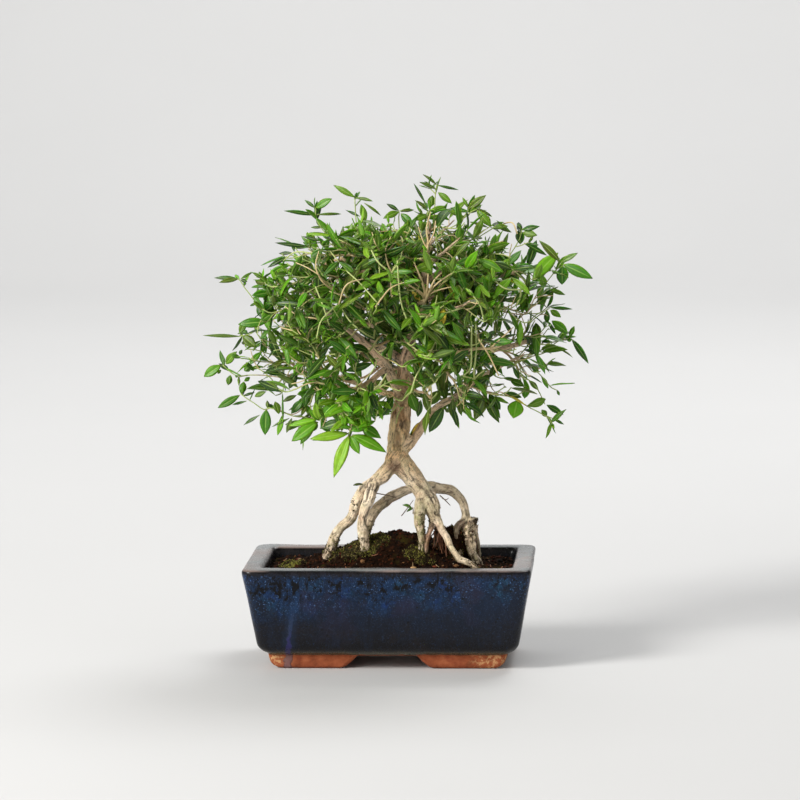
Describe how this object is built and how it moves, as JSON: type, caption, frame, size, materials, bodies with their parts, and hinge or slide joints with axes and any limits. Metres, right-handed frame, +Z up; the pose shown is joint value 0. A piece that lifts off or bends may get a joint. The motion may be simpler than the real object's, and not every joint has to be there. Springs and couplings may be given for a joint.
{
  "type": "serissa bonsai",
  "caption": "Miniature serissa tree with an arched, exposed root base and a rounded leafy crown, growing in mossy soil in a dark blue glazed rectangular pot on low corner feet.",
  "frame": {"origin": "centre of the whole object's bounding box in plan, at the height of the surface that the pot's feet stand on", "axes": "+Z up along the trunk, +X to the right along the pot's long side seen from the front, +Y to the back; the picture looks along +Y from slightly above"},
  "size_m": [0.276, 0.2068, 0.3449],
  "materials": {
    "pot_glaze": "gloss",
    "screen_mesh": "matte",
    "bark": "matte",
    "soil": "matte",
    "moss": "matte",
    "foliage": "satin"
  },
  "bodies": {
    "root": {"pot": "pot_glaze", "drain_screen_left": "screen_mesh", "drain_screen_right": "screen_mesh", "trunk_with_roots": "bark", "soil": "soil", "moss_left_roots": "moss", "moss_rim_left": "moss", "moss_middle": "moss", "moss_back": "moss", "spray_top_front_left_1": "foliage", "spray_top_front_left_2": "foliage", "spray_top_front": "foliage", "spray_top_front_right_1": "foliage", "spray_top_front_right_2": "foliage", "spray_top_right": "foliage", "spray_top_back_right": "foliage", "spray_middle_left": "foliage", "spray_upper_left": "foliage", "spray_upper_front_left": "foliage", "spray_middle_front": "foliage", "spray_upper_front_right": "foliage", "spray_middle_right_1": "foliage", "spray_upper_right_1": "foliage", "spray_middle_right_2": "foliage", "spray_upper_right_2": "foliage", "spray_upper_back_right": "foliage", "spray_upper_back": "foliage", "spray_middle_back": "foliage", "spray_top_back_left": "foliage", "spray_upper_back_left": "foliage", "spray_middle_back_left": "foliage", "spray_lower_left_1": "foliage", "spray_lower_left_2": "foliage", "spray_lower_left_3": "foliage", "spray_middle_front_left": "foliage", "spray_lower_front_left_1": "foliage", "spray_lower_front_left_2": "foliage", "spray_lower_front": "foliage", "spray_lower_front_right": "foliage", "spray_lower_right_1": "foliage", "spray_lower_right_2": "foliage", "spray_middle_right_3": "foliage", "spray_lower_right_3": "foliage", "spray_lower_back_left_1": "foliage", "spray_lower_back_left_2": "foliage", "spray_lower_left_4": "foliage", "spray_lower_front_left_3": "foliage"}
  },
  "joints": []
}
